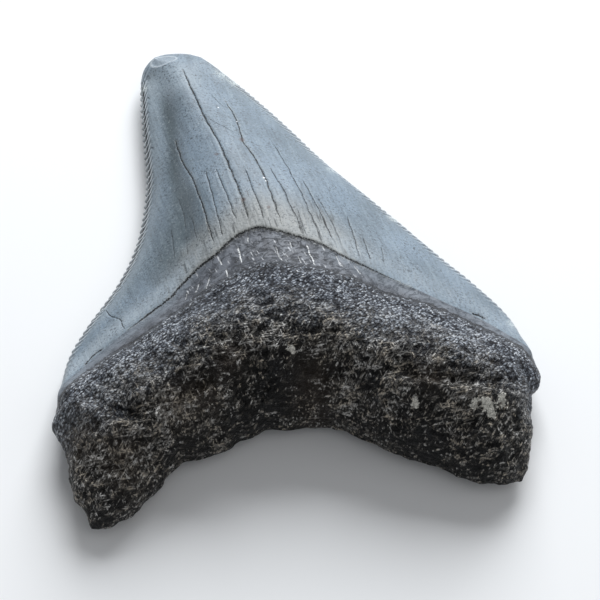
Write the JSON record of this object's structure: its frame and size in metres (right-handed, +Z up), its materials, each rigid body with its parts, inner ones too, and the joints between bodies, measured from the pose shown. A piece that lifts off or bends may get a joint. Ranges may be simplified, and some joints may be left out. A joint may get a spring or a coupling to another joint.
{
  "type": "megalodon tooth",
  "caption": "Fossil shark tooth lying flat: triangular serrated crown that leans to one side, chevron neck band and a thick, rough two-lobed root.",
  "frame": {"origin": "centre of the bounding box's bottom face, in the plane that the tooth lies on", "axes": "+Y from the root to the tip of the crown, +Z up out of the bulging inner face, +X towards the longer mesial cutting edge"},
  "size_m": [0.0544, 0.0638, 0.0149],
  "materials": {
    "tooth": "satin"
  },
  "bodies": {
    "root": {"tooth": "tooth"}
  },
  "joints": []
}
